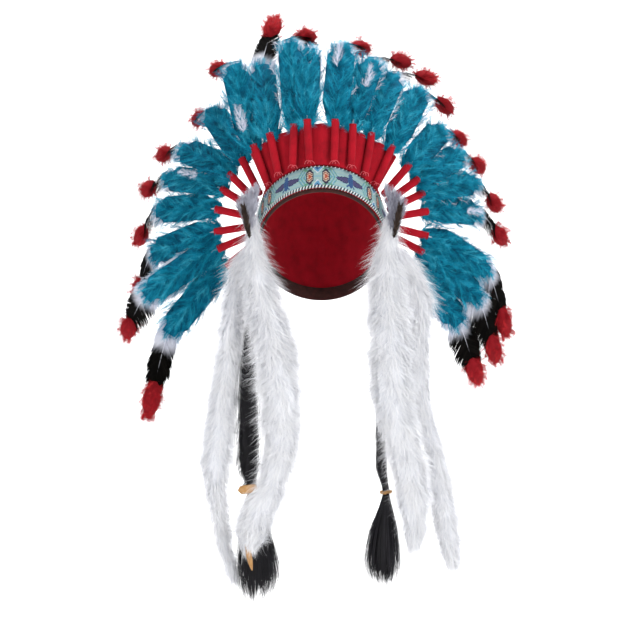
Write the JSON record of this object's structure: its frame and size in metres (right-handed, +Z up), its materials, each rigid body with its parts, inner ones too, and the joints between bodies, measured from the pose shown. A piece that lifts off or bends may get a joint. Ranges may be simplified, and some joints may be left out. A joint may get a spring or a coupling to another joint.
{
  "type": "feathered headdress",
  "caption": "Feathered headdress: felt skull cap with a woven brow band, wrapped quills that carry long plumes in a fan, and white fur tails with black tassels at the temples.",
  "frame": {"origin": "middle of the head opening, on the plane of the cap's rim, which slopes down from the brow to the nape", "axes": "+Z up, -Y the way the wearer faces, +X the wearer's left"},
  "size_m": [0.5215, 0.3111, 0.7401],
  "materials": {
    "felt": "red wool felt",
    "ribbon": "pale aqua woven ribbon with blue figures",
    "lining": "dark brown tape",
    "feather": "teal down plume over a white vane with a black end and a red tip",
    "white_feather": "small white feathers",
    "brown_feather": "small dark brown feather",
    "fur": "long white fur",
    "black_hair": "black hair",
    "leather": "tan suede"
  },
  "bodies": {
    "root": {"skull_cap": "felt", "sweatband": "lining", "brow_band": "ribbon", "crown_panel": "felt", "quill_wrap_right_01": "felt", "feather_right_01": "feather", "quill_wrap_right_02": "felt", "feather_right_02": "feather", "quill_wrap_right_03": "felt", "feather_right_03": "feather", "quill_wrap_right_04": "felt", "feather_right_04": "feather", "quill_wrap_right_05": "felt", "feather_right_05": "feather", "quill_wrap_right_06": "felt", "feather_right_06": "feather", "quill_wrap_right_07": "felt", "feather_right_07": "feather", "quill_wrap_right_08": "felt", "feather_right_08": "feather", "quill_wrap_right_09": "felt", "feather_right_09": "feather", "quill_wrap_right_10": "felt", "feather_right_10": "feather", "quill_wrap_right_11": "felt", "feather_right_11": "feather", "quill_wrap_left_01": "felt", "feather_left_01": "feather", "quill_wrap_left_02": "felt", "feather_left_02": "feather", "quill_wrap_left_03": "felt", "feather_left_03": "feather", "quill_wrap_left_04": "felt", "feather_left_04": "feather", "quill_wrap_left_05": "felt", "feather_left_05": "feather", "quill_wrap_left_06": "felt", "feather_left_06": "feather", "quill_wrap_left_07": "felt", "feather_left_07": "feather", "quill_wrap_left_08": "felt", "feather_left_08": "feather", "quill_wrap_left_09": "felt", "feather_left_09": "feather", "quill_wrap_left_10": "felt", "feather_left_10": "feather", "quill_wrap_left_11": "felt", "feather_left_11": "feather", "temple_tuft_right": "white_feather", "temple_feather_right": "brown_feather", "fur_tail_right_inner": "fur", "fur_tail_right_outer": "fur", "black_tassel_right": "black_hair", "tassel_tie_right": "leather", "temple_tuft_left": "white_feather", "temple_feather_left": "brown_feather", "fur_tail_left_inner": "fur", "fur_tail_left_outer": "fur", "black_tassel_left": "black_hair", "tassel_tie_left": "leather"}
  },
  "joints": []
}
